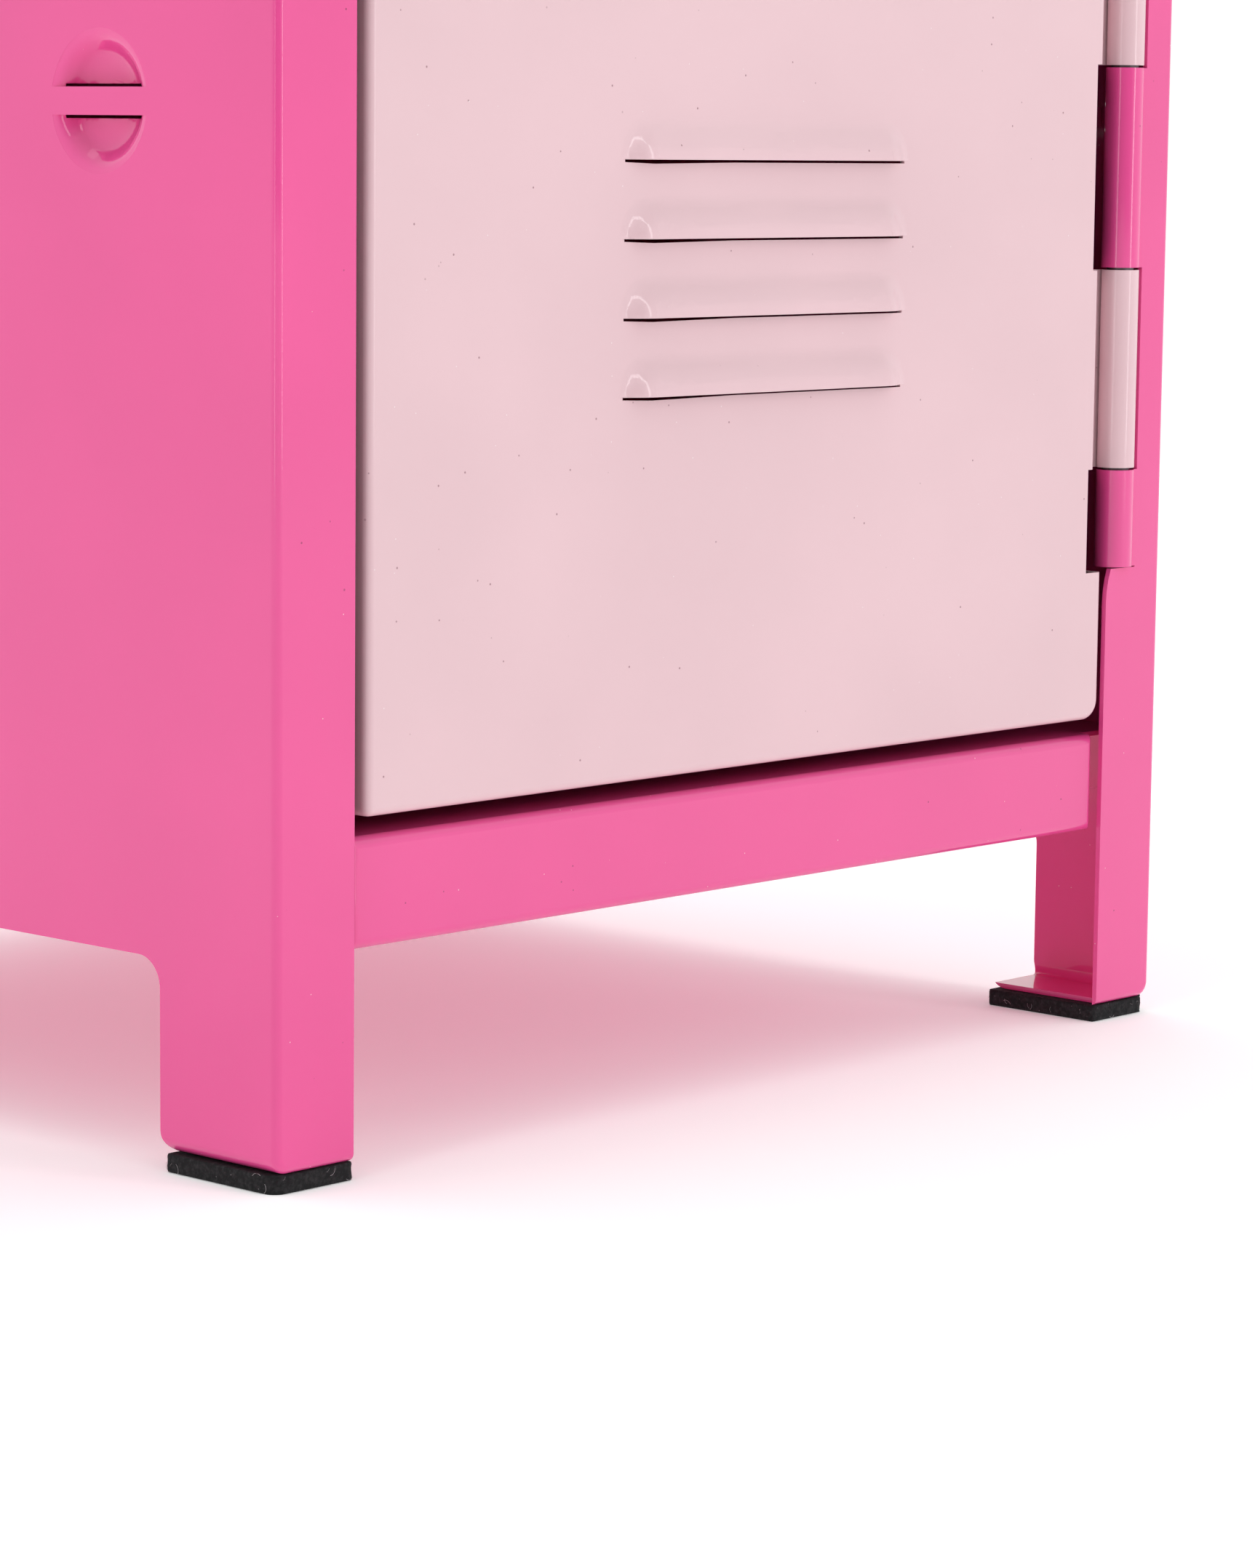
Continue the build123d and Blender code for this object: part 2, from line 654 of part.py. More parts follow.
with BuildPart() as catch_housing:
    low, high = striker_spot[1] - catch_half_height, striker_spot[1] + catch_half_height
    block(catch_foot, (front_y + sheet, catch_back_y), (low, high))
    block(
        (catch_foot[0], striker_spot[0] + catch_half_width),
        (door_back_y + 1, catch_back_y),
        (low, high),
    )
    block(
        (striker_spot[0] - catch_half_width, striker_spot[0] + catch_half_width),
        (magnet_face_y + 0.8, catch_back_y),
        (low, high),
    )
    fillet(edges().filter_by(Axis.Z).group_by(Axis.Y)[-1], 2.0)
    block(
        (striker_spot[0] - magnet_half_width, striker_spot[0] + magnet_half_width),
        (front_y, magnet_face_y + magnet_depth),
        (striker_spot[1] - magnet_half_height, striker_spot[1] + magnet_half_height),
        Mode.SUBTRACT,
    )
    with BuildSketch(Plane.XZ.offset(-(front_y + sheet + catch_rivet_length + 1))):
        with Locations(*catch_rivet_spots):
            Circle(tail_radius + 0.1)
    extrude(amount=catch_rivet_length + 2, mode=Mode.SUBTRACT)
save(catch_housing, "catch_housing")

with BuildPart() as catch_magnet:
    block(
        (striker_spot[0] - magnet_half_width, striker_spot[0] + magnet_half_width),
        (magnet_face_y, magnet_face_y + magnet_depth),
        (striker_spot[1] - magnet_half_height, striker_spot[1] + magnet_half_height),
    )
    chamfer(faces().sort_by(Axis.Y)[0].edges(), 0.4)
save(catch_magnet, "catch_magnet")

# Push rivets: a domed head, a thin shank in the flange and a split plug in the housing.
with BuildPart() as catch_rivets:
    for spot in catch_rivet_spots:
        rivet(spot, front_y, front_y + sheet)
        rod_y(spot, front_y + sheet, front_y + sheet + catch_rivet_length, tail_radius)
save(catch_rivets, "catch_rivets")

# ---------------------------------------------------------------- foot pads
pad_size_x = 14.0
pad_size_y = 20.4
pad_center_x = flange_x - 0.5 + pad_size_x / 2
pad_inset_y = 0.1
for side, side_sign in (("left", -1), ("right", 1)):
    for place, pad_y in (
        ("front", front_y + pad_inset_y + pad_size_y / 2),
        ("rear", back_y - pad_inset_y - pad_size_y / 2),
    ):
        with BuildPart() as foot_pad:
            with Locations((side_sign * pad_center_x, pad_y, pad_thick / 2)):
                Box(pad_size_x, pad_size_y, pad_thick)
            fillet(edges().filter_by(Axis.Z), 1.0)
        save(foot_pad, f"foot_pad_{side}_{place}")
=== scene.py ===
"""Looks of a miniature two-tone steel locker cabinet, dressed over its fixed frame, in metres."""

import math

import bmesh
import bpy
from mathutils import Matrix, Vector, noise


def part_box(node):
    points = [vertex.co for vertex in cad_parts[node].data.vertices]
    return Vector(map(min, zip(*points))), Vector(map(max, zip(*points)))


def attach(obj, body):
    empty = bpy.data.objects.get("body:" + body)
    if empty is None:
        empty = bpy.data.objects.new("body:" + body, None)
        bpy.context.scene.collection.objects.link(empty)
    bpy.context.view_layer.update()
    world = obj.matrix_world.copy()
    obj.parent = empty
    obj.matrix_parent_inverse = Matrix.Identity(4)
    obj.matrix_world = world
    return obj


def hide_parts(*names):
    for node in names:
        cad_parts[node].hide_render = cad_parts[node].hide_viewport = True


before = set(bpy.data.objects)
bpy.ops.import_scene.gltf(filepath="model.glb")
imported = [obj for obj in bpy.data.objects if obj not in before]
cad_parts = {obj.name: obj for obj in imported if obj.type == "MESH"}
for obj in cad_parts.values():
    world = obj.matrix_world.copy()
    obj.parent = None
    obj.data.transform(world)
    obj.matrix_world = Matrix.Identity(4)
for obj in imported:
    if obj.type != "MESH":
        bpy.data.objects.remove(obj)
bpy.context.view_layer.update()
MM = 0.001

# ---------------------------------------------------------------- side pressings
# Two C-shaped pressings of thin steel, one mirrored: wall, flanges, legs and pressed-in shelf
# guides. They are powder coated hot pink after folding, so the paint rounds every cut edge.
HOT_PINK = (0.845, 0.078, 0.312)
PAINT_ROUND = 0.16 * MM
BEND_SEGMENTS = 3
FLAT_ANGLE = math.radians(0.4)
EDGE_ANGLE = math.radians(32)


def nodes_of(material):
    """Clears a material and gives its node tree, shader and object coordinates."""
    material.use_nodes = True
    tree = material.node_tree
    tree.nodes.clear()
    output = tree.nodes.new("ShaderNodeOutputMaterial")
    shader = tree.nodes.new("ShaderNodeBsdfPrincipled")
    coords = tree.nodes.new("ShaderNodeTexCoord")
    tree.links.new(shader.outputs["BSDF"], output.inputs["Surface"])
    return tree, shader, coords.outputs["Object"]


def noise_node(tree, coords, scale, detail=2.0, rough=0.5):
    """A noise pattern on object coordinates; scale is in cells per metre."""
    node = tree.nodes.new("ShaderNodeTexNoise")
    node.inputs["Scale"].default_value = scale
    node.inputs["Detail"].default_value = detail
    node.inputs["Roughness"].default_value = rough
    tree.links.new(coords, node.inputs["Vector"])
    return node.outputs["Fac"]


def ramp_node(tree, value, low, high, low_out=0.0, high_out=1.0):
    """Maps low..high of a value to low_out..high_out, clamped."""
    node = tree.nodes.new("ShaderNodeMapRange")
    for name, number in (
        ("From Min", low), ("From Max", high), ("To Min", low_out), ("To Max", high_out)
    ):
        node.inputs[name].default_value = number
    tree.links.new(value, node.inputs["Value"])
    return node.outputs["Result"]


def mix_color(tree, factor, under, over):
    """Mixes two colours, each a socket or a plain RGB, by a factor socket."""
    node = tree.nodes.new("ShaderNodeMix")
    node.data_type = "RGBA"
    tree.links.new(factor, node.inputs["Factor"])
    for socket, color in ((node.inputs["A"], under), (node.inputs["B"], over)):
        if isinstance(color, tuple):
            socket.default_value = (*color, 1.0)
        else:
            tree.links.new(color, socket)
    return node.outputs["Result"]


def bump_node(tree, height, distance, strength=1.0, under=None):
    """Bump from a height socket over an optional other bump."""
    node = tree.nodes.new("ShaderNodeBump")
    node.inputs["Distance"].default_value = distance
    node.inputs["Strength"].default_value = strength
    tree.links.new(height, node.inputs["Height"])
    if under:
        tree.links.new(under, node.inputs["Normal"])
    return node.outputs["Normal"]


def dots(tree, coords, scale, radius):
    """1 on sparse round specks, 0 elsewhere."""
    node = tree.nodes.new("ShaderNodeTexVoronoi")
    node.inputs["Scale"].default_value = scale
    tree.links.new(coords, node.inputs["Vector"])
    near = ramp_node(tree, node.outputs["Distance"], radius, radius * 0.6)
    pick = tree.nodes.new("ShaderNodeSeparateColor")
    tree.links.new(node.outputs["Color"], pick.inputs["Color"])
    chosen = ramp_node(tree, pick.outputs["Red"], 0.80, 0.82)
    both = tree.nodes.new("ShaderNodeMath")
    both.operation = "MULTIPLY"
    tree.links.new(near, both.inputs[0])
    tree.links.new(chosen, both.inputs[1])
    return both.outputs["Value"]


def powder_coat(name, color, roughness, coat, speck):
    """Glossy powder coat: soft orange peel, slight colour drift and a few dust specks."""
    material = bpy.data.materials.new(name)
    tree, shader, coords = nodes_of(material)
    drift = noise_node(tree, coords, 28.0)
    deeper = tuple(channel * 0.955 for channel in color)
    base = mix_color(tree, ramp_node(tree, drift, 0.35, 0.65), deeper, color)
    base = mix_color(tree, dots(tree, coords, 420.0, 0.075), base, speck)
    pale = tuple(min(1.0, channel * 0.5 + 0.5) for channel in color)
    base = mix_color(tree, dots(tree, coords, 560.0, 0.055), base, pale)
    tree.links.new(base, shader.inputs["Base Color"])
    shader.inputs["Roughness"].default_value = roughness
    shader.inputs["Coat Weight"].default_value = coat
    shader.inputs["Coat Roughness"].default_value = 0.05
    shader.inputs["Specular IOR Level"].default_value = 0.15
    peel = bump_node(tree, noise_node(tree, coords, 900.0, 1.0), 0.00003, 0.35)
    grain = bump_node(tree, noise_node(tree, coords, 5200.0, 1.0), 0.00001, 0.30, peel)
    tree.links.new(grain, shader.inputs["Normal"])
    return material


body_paint = powder_coat("body_paint", HOT_PINK, 0.38, 0.95, (0.42, 0.03, 0.15))


def keep_mesh(name, mesh, material, body, replaced=()):
    """Puts a finished mesh in the scene as one piece of a body."""
    piece = bpy.data.objects.new(name, mesh)
    bpy.context.collection.objects.link(piece)
    if material:
        mesh.materials.clear()
        mesh.materials.append(material)
    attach(piece, body)
    if replaced:
        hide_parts(*replaced)
    return piece


def soften(mesh, radius, edge_angle=EDGE_ANGLE):
    """Rounds the sharp edges of a closed mesh and shades it as rolled sheet."""
    blank = bpy.data.objects.new("blank", mesh)
    bpy.context.collection.objects.link(blank)
    bevel = blank.modifiers.new("paint_round", "BEVEL")
    bevel.width = radius
    bevel.segments = BEND_SEGMENTS
    bevel.limit_method = "ANGLE"
    bevel.angle_limit = edge_angle
    bevel.use_clamp_overlap = True
    bevel.harden_normals = True
    weighted = blank.modifiers.new("flats", "WEIGHTED_NORMAL")
    weighted.keep_sharp = True
    bpy.context.view_layer.update()
    graph = bpy.context.evaluated_depsgraph_get()
    result = bpy.data.meshes.new_from_object(
        blank.evaluated_get(graph), preserve_all_data_layers=True, depsgraph=graph
    )
    bpy.data.objects.remove(blank)
    return result


def formed_sheet(node, name, material, body):
    """A painted sheet part: the shape of the frame's node with painted-over edges."""
    form = bmesh.new()
    form.from_mesh(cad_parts[node].data)
    bmesh.ops.remove_doubles(form, verts=form.verts, dist=0.002 * MM)
    bmesh.ops.dissolve_limit(
        form,
        angle_limit=FLAT_ANGLE,
        verts=form.verts,
        edges=form.edges,
        use_dissolve_boundaries=False,
    )
    for face in form.faces:
        face.smooth = True
    mesh = bpy.data.meshes.new(name)
    form.to_mesh(mesh)
    form.free()
    finished = soften(mesh, PAINT_ROUND)
    finished.name = name
    return keep_mesh(name, finished, material, body, (node,))


for side in ("left_side", "right_side"):
    formed_sheet(side, "painted_" + side, body_paint, "cabinet")

# ---------------------------------------------------------------- panels, tray and shelves
# The back is a flat sheet, the top and the tray are shallow pans with a rolled front rail, and
# the shelves are pans that rest in the guides. All share the body's paint.
for panel in ("back_panel", "bottom_tray", "top_panel", "lower_shelf", "upper_shelf"):
    formed_sheet(panel, "painted_" + panel, body_paint, "cabinet")

# ---------------------------------------------------------------- door
# One folded pan of the same sheet, with louvres pressed out and knuckles curled at the hinge.
# It is powder coated pale pink, away from the body.
PALE_PINK = (0.79, 0.55, 0.59)
door_paint = powder_coat("door_paint", PALE_PINK, 0.38, 0.6, (0.40, 0.22, 0.25))
formed_sheet("door_panel", "painted_door", door_paint, "door")

# ---------------------------------------------------------------- hinge pin and hasp pin
# Drawn steel wire, hidden but for its ends: dull and dark in the door hinge, bright in the hasp.
def metal(name, color, roughness, grain_scale, grain_depth):
    """Bare or plated metal with a fine uneven gloss."""
    material = bpy.data.materials.new(name)
    tree, shader, coords = nodes_of(material)
    cloud = noise_node(tree, coords, 160.0, 4.0)
    duller = tuple(channel * 0.86 for channel in color)
    shade = mix_color(tree, ramp_node(tree, cloud, 0.3, 0.7), duller, color)
    tree.links.new(shade, shader.inputs["Base Color"])
    uneven = ramp_node(tree, cloud, 0.3, 0.75, roughness * 0.8, roughness * 1.3)
    tree.links.new(uneven, shader.inputs["Roughness"])
    shader.inputs["Metallic"].default_value = 1.0
    grain = bump_node(tree, noise_node(tree, coords, grain_scale, 3.0), grain_depth, 0.4)
    tree.links.new(grain, shader.inputs["Normal"])
    return material


bright_steel = metal("bright_steel", (0.60, 0.60, 0.62), 0.26, 2500.0, 0.00001)
dark_steel = metal("dark_steel", (0.16, 0.15, 0.155), 0.5, 2500.0, 0.00001)
for pin, steel, body in (("hinge_pin", dark_steel, "cabinet"), ("hasp_pin", bright_steel, "door")):
    formed_sheet(pin, "drawn_" + pin, steel, body)

# ---------------------------------------------------------------- padlock eye and hasp
# Pressed from thin steel and nickel plated: an angle with the padlock hole on the flange, and on
# the door a leaf with a hinged strap that drops over it.
nickel = metal("nickel_plate", (0.70, 0.69, 0.67), 0.17, 1800.0, 0.00001)
for pressing, body in (("padlock_eye", "cabinet"), ("hasp_base", "door"), ("hasp_strap", "strap")):
    formed_sheet(pressing, "plated_" + pressing, nickel, body)

# ---------------------------------------------------------------- rivets
# Domed steel rivets, each closed by a flat tail behind the sheet. The same rivet is set at every
# place where two sheets meet, plated on the hasp and painted where it comes through the door.
RIVET_SIDES = 40


def rivet_tree():
    """A node tree that sets one upright rivet along +Y at each vertex of a mesh."""
    tree = bpy.data.node_groups.new("set_rivets", "GeometryNodeTree")
    face = tree.interface
    face.new_socket("Geometry", in_out="INPUT", socket_type="NodeSocketGeometry")
    for rivet_part in ("Head", "Shank", "Tail"):
        for measure in ("radius", "length" if rivet_part == "Shank" else "height"):
            face.new_socket(f"{rivet_part} {measure}", in_out="INPUT", socket_type="NodeSocketFloat")
    face.new_socket("Material", in_out="INPUT", socket_type="NodeSocketMaterial")
    face.new_socket("Geometry", in_out="OUTPUT", socket_type="NodeSocketGeometry")
    add, link = tree.nodes.new, tree.links.new
    given, result = add("NodeGroupInput"), add("NodeGroupOutput")

    def offset(value, factor):
        node = add("ShaderNodeMath")
        node.operation = "MULTIPLY"
        link(value, node.inputs[0])
        node.inputs[1].default_value = factor
        return node.outputs["Value"]

    def total(first, second):
        node = add("ShaderNodeMath")
        link(first, node.inputs[0])
        link(second, node.inputs[1])
        return node.outputs["Value"]

    def moved(mesh, height, scale=None):
        place, lift = add("GeometryNodeTransform"), add("ShaderNodeCombineXYZ")
        link(mesh, place.inputs["Geometry"])
        link(height, lift.inputs["Z"])
        link(lift.outputs["Vector"], place.inputs["Translation"])
        if scale:
            link(scale, place.inputs["Scale"])
        return place.outputs["Geometry"]

    def bar(radius, depth):
        node = add("GeometryNodeMeshCylinder")
        node.inputs["Vertices"].default_value = RIVET_SIDES
        link(radius, node.inputs["Radius"])
        link(depth, node.inputs["Depth"])
        return node.outputs["Mesh"]

    dome, shape = add("GeometryNodeMeshUVSphere"), add("ShaderNodeCombineXYZ")
    dome.inputs["Segments"].default_value = RIVET_SIDES
    dome.inputs["Rings"].default_value = RIVET_SIDES // 2
    dome.inputs["Radius"].default_value = 1.0
    link(given.outputs["Head radius"], shape.inputs["X"])
    link(given.outputs["Head radius"], shape.inputs["Y"])
    link(given.outputs["Head height"], shape.inputs["Z"])
    zero = offset(given.outputs["Head radius"], 0.0)
    head = moved(dome.outputs["Mesh"], zero, shape.outputs["Vector"])
    # Only the upper half of the dome stands in front of the sheet.
    cut = add("GeometryNodeDeleteGeometry")
    where = add("GeometryNodeInputPosition")
    split = add("ShaderNodeSeparateXYZ")
    below = add("FunctionNodeCompare")
    below.operation = "LESS_THAN"
    link(where.outputs["Position"], split.inputs["Vector"])
    link(split.outputs["Z"], below.inputs["A"])
    below.inputs["B"].default_value = -0.01 * MM
    link(head, cut.inputs["Geometry"])
    link(below.outputs["Result"], cut.inputs["Selection"])
    rim = add("GeometryNodeMeshCircle")
    rim.fill_type = "NGON"
    rim.inputs["Vertices"].default_value = RIVET_SIDES
    link(given.outputs["Head radius"], rim.inputs["Radius"])
    flip = add("GeometryNodeFlipFaces")
    link(rim.outputs["Mesh"], flip.inputs["Mesh"])
    shank_bar = bar(given.outputs["Shank radius"], given.outputs["Shank length"])
    shank = moved(shank_bar, offset(given.outputs["Shank length"], -0.5))
    behind = total(given.outputs["Shank length"], offset(given.outputs["Tail height"], 0.5))
    tail_bar = bar(given.outputs["Tail radius"], given.outputs["Tail height"])
    tail = moved(tail_bar, offset(behind, -1.0))
    whole, weld = add("GeometryNodeJoinGeometry"), add("GeometryNodeMergeByDistance")
    closed = add("GeometryNodeJoinGeometry")
    link(cut.outputs["Geometry"], closed.inputs["Geometry"])
    link(flip.outputs["Mesh"], closed.inputs["Geometry"])
    link(closed.outputs["Geometry"], weld.inputs["Geometry"])
    weld.inputs["Distance"].default_value = 0.005 * MM
    for mesh in (weld.outputs["Geometry"], shank, tail):
        link(mesh, whole.inputs["Geometry"])
    copies = add("GeometryNodeInstanceOnPoints")
    solid = add("GeometryNodeRealizeInstances")
    paint = add("GeometryNodeSetMaterial")
    link(given.outputs["Geometry"], copies.inputs["Points"])
    link(whole.outputs["Geometry"], copies.inputs["Instance"])
    copies.inputs["Rotation"].default_value = (math.pi / 2, 0.0, 0.0)
    smooth = add("GeometryNodeSetShadeSmooth")
    link(copies.outputs["Instances"], solid.inputs["Geometry"])
    link(solid.outputs["Geometry"], smooth.inputs["Geometry"])
    link(smooth.outputs["Geometry"], paint.inputs["Geometry"])
    link(given.outputs["Material"], paint.inputs["Material"])
    link(paint.outputs["Geometry"], result.inputs["Geometry"])
    return tree


def grown(name, seeds, tree, values):
    """Runs a node tree over a seed mesh and gives the plain mesh it makes."""
    holder = bpy.data.objects.new(name + "_holder", seeds)
    bpy.context.collection.objects.link(holder)
    modifier = holder.modifiers.new("grow", "NODES")
    modifier.node_group = tree
    identifiers = {
        item.name: item.identifier for item in tree.interface.items_tree if item.in_out == "INPUT"
    }
    for label, value in values.items():
        modifier[identifiers[label]] = value
    bpy.context.view_layer.update()
    graph = bpy.context.evaluated_depsgraph_get()
    mesh = bpy.data.meshes.new_from_object(holder.evaluated_get(graph), depsgraph=graph)
    bpy.data.objects.remove(holder)
    mesh.name = name
    return mesh


HEAD_HEIGHT = 0.8 * MM
HEAD_RADIUS = 2.1 * MM
SHANK_RADIUS = 1.2 * MM
TAIL_RADIUS = 1.8 * MM
TAIL_HEIGHT = 0.6 * MM
set_rivets = rivet_tree()


def rivets(node, name, material, body, count, tail_radius, tail_height):
    """Rivets in a vertical row that fills the frame's node."""
    low, high = (Vector(corner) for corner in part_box(node))
    pitch = (high.z - low.z - 2 * HEAD_RADIUS) / max(1, count - 1)
    middle_x = (low.x + high.x) / 2
    points = [(middle_x, low.y + HEAD_HEIGHT, low.z + HEAD_RADIUS + pitch * n) for n in range(count)]
    places = bpy.data.meshes.new(name + "_places")
    places.from_pydata(points, [], [])
    mesh = grown(name, places, set_rivets, {
        "Head radius": HEAD_RADIUS,
        "Head height": HEAD_HEIGHT,
        "Shank radius": SHANK_RADIUS,
        "Shank length": high.y - low.y - HEAD_HEIGHT - tail_height,
        "Tail radius": tail_radius,
        "Tail height": tail_height,
        "Material": material,
    })
    return keep_mesh(name, mesh, None, body, (node,))


rivets("eye_rivets", "eye_rivet_pair", nickel, "cabinet", 2, TAIL_RADIUS, TAIL_HEIGHT)
rivets("hasp_rivets", "hasp_rivet_pair", nickel, "door", 2, TAIL_RADIUS, TAIL_HEIGHT)
rivets(
    "striker_rivet", "painted_striker_rivet", door_paint,
    "door", 1, TAIL_RADIUS, TAIL_HEIGHT,
)

# ---------------------------------------------------------------- magnet catch
# A moulded housing holds a block magnet behind the flange with two push rivets. A bright steel
# plate inside the door meets it.
PLUG_LENGTH = 5.0 * MM  # of a push rivet
white_plastic = bpy.data.materials.new("white_plastic")
tree, shader, coords = nodes_of(white_plastic)
mould = noise_node(tree, coords, 90.0, 3.0)
shade = mix_color(tree, ramp_node(tree, mould, 0.3, 0.7), (0.74, 0.74, 0.72), (0.80, 0.80, 0.785))
tree.links.new(shade, shader.inputs["Base Color"])
shader.inputs["Roughness"].default_value = 0.46
spark = bump_node(tree, noise_node(tree, coords, 3000.0, 2.0), 0.00002, 0.3)
tree.links.new(spark, shader.inputs["Normal"])
magnet_black = metal("magnet_black", (0.10, 0.10, 0.105), 0.5, 1500.0, 0.00002)
formed_sheet("catch_housing", "moulded_catch_housing", white_plastic, "cabinet")
formed_sheet("catch_magnet", "sintered_magnet", magnet_black, "cabinet")
formed_sheet("striker_plate", "bright_striker_plate", bright_steel, "door")
rivets(
    "catch_rivets", "catch_push_rivets", white_plastic,
    "cabinet", 2, TAIL_RADIUS, PLUG_LENGTH,
)

# ---------------------------------------------------------------- foot pads
# Die-cut squares of black closed-cell foam, glued under the turned-in feet. Their cut faces are
# ragged, the corners have rubbed round, and they hold a few hairs of lint.
FOAM_CELL = 0.4 * MM
FOAM_INSET = 0.16 * MM
FOAM_RAGGED = 0.22 * MM
FOAM_ROUND = 0.7 * MM
FOAM_WORN = 3.0 * MM
HAIR_DENSITY = 150000.0  # hairs in a square metre
HAIR_LENGTH = 1.0 * MM
HAIR_RADIUS = 0.024 * MM
FIRST_SEED = 3

foam = bpy.data.materials.new("black_foam")
tree, shader, coords = nodes_of(foam)
cells = noise_node(tree, coords, 1500.0, 5.0, 0.65)
open_cells = ramp_node(tree, cells, 0.45, 0.8)
dusty = mix_color(tree, open_cells, (0.008, 0.008, 0.009), (0.040, 0.038, 0.040))
dusty = mix_color(tree, dots(tree, coords, 900.0, 0.09), dusty, (0.18, 0.16, 0.17))
tree.links.new(dusty, shader.inputs["Base Color"])
shader.inputs["Roughness"].default_value = 0.86
shader.inputs["Specular IOR Level"].default_value = 0.3
pores = bump_node(tree, cells, 0.00018, 0.9)
tree.links.new(pores, shader.inputs["Normal"])

lint = bpy.data.materials.new("grey_lint")
tree, shader, coords = nodes_of(lint)
fleck = noise_node(tree, coords, 700.0)
hair_color = mix_color(tree, fleck, (0.25, 0.23, 0.24), (0.62, 0.56, 0.58))
tree.links.new(hair_color, shader.inputs["Base Color"])
shader.inputs["Roughness"].default_value = 0.7


def lint_tree():
    """A node tree that lays thin curved hairs over the sides of a pad."""
    tree = bpy.data.node_groups.new("lay_lint", "GeometryNodeTree")
    face = tree.interface
    face.new_socket("Geometry", in_out="INPUT", socket_type="NodeSocketGeometry")
    face.new_socket("Density", in_out="INPUT", socket_type="NodeSocketFloat")
    face.new_socket("Hair length", in_out="INPUT", socket_type="NodeSocketFloat")
    face.new_socket("Hair radius", in_out="INPUT", socket_type="NodeSocketFloat")
    face.new_socket("Seed", in_out="INPUT", socket_type="NodeSocketInt")
    face.new_socket("Material", in_out="INPUT", socket_type="NodeSocketMaterial")
    face.new_socket("Geometry", in_out="OUTPUT", socket_type="NodeSocketGeometry")
    add, link = tree.nodes.new, tree.links.new
    given, result = add("NodeGroupInput"), add("NodeGroupOutput")
    spread = add("GeometryNodeDistributePointsOnFaces")
    link(given.outputs["Geometry"], spread.inputs["Mesh"])
    link(given.outputs["Density"], spread.inputs["Density"])
    link(given.outputs["Seed"], spread.inputs["Seed"])
    arc = add("GeometryNodeCurveArc")
    arc.inputs["Resolution"].default_value = 9
    arc.inputs["Sweep Angle"].default_value = math.radians(95)
    link(given.outputs["Hair length"], arc.inputs["Radius"])
    ring = add("GeometryNodeCurvePrimitiveCircle")
    ring.inputs["Resolution"].default_value = 5
    link(given.outputs["Hair radius"], ring.inputs["Radius"])
    wire = add("GeometryNodeCurveToMesh")
    wire.inputs["Fill Caps"].default_value = True
    link(arc.outputs["Curve"], wire.inputs["Curve"])
    link(ring.outputs["Curve"], wire.inputs["Profile Curve"])
    copies = add("GeometryNodeInstanceOnPoints")
    turn, size = add("FunctionNodeRandomValue"), add("FunctionNodeRandomValue")
    turn.data_type = "FLOAT_VECTOR"
    turn.inputs["Min"].default_value = (-0.12, -0.12, 0.0)
    turn.inputs["Max"].default_value = (0.12, 0.12, math.tau)
    size.inputs[2].default_value = 0.35
    size.inputs[3].default_value = 1.0
    link(given.outputs["Seed"], turn.inputs["Seed"])
    link(given.outputs["Seed"], size.inputs["Seed"])
    spin = add("FunctionNodeRotateRotation")
    spin.rotation_space = "LOCAL"
    link(spread.outputs["Rotation"], spin.inputs["Rotation"])
    link(turn.outputs["Value"], spin.inputs["Rotate By"])
    link(spread.outputs["Points"], copies.inputs["Points"])
    link(wire.outputs["Mesh"], copies.inputs["Instance"])
    link(spin.outputs["Rotation"], copies.inputs["Rotation"])
    link(size.outputs[1], copies.inputs["Scale"])
    solid, paint = add("GeometryNodeRealizeInstances"), add("GeometryNodeSetMaterial")
    link(copies.outputs["Instances"], solid.inputs["Geometry"])
    link(solid.outputs["Geometry"], paint.inputs["Geometry"])
    link(given.outputs["Material"], paint.inputs["Material"])
    link(paint.outputs["Geometry"], result.inputs["Geometry"])
    return tree


lay_lint = lint_tree()


